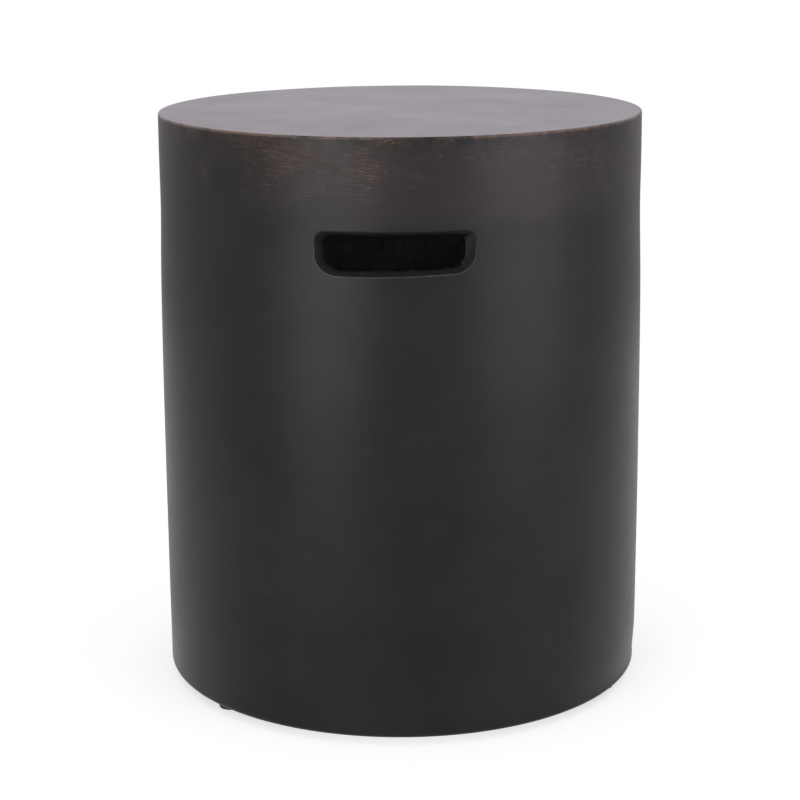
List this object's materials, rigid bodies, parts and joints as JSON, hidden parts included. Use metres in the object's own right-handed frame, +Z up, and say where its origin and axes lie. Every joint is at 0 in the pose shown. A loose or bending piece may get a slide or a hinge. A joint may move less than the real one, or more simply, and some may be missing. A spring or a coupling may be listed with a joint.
{
  "type": "outdoor side table",
  "caption": "Hollow round drum side table cast in charcoal concrete, with a flat top, a flared hand hold front and rear, a thick base rim and rubber feet.",
  "frame": {"origin": "on the floor, under the middle of the round top", "axes": "+Z up; the hand hold that the picture shows faces -Y, the front, and the other one faces +Y; +X is to the right of someone facing the front"},
  "size_m": [0.407, 0.407, 0.481],
  "materials": {
    "cast_concrete": "satin",
    "glass_cloth": "matte",
    "foot_rubber": "matte",
    "washer_steel": "satin",
    "screw_steel": "satin",
    "plug_nylon": "satin"
  },
  "bodies": {
    "root": {"cast_drum": "cast_concrete", "wall_cloth": "glass_cloth", "top_cloth": "glass_cloth", "foot_pad_left": "foot_rubber", "foot_pad_right": "foot_rubber", "foot_pad_back": "foot_rubber", "foot_washer_left": "washer_steel", "foot_washer_right": "washer_steel", "foot_washer_back": "washer_steel", "foot_screw_left": "screw_steel", "foot_screw_right": "screw_steel", "foot_screw_back": "screw_steel", "foot_plug_left": "plug_nylon", "foot_plug_right": "plug_nylon", "foot_plug_back": "plug_nylon"}
  },
  "joints": []
}
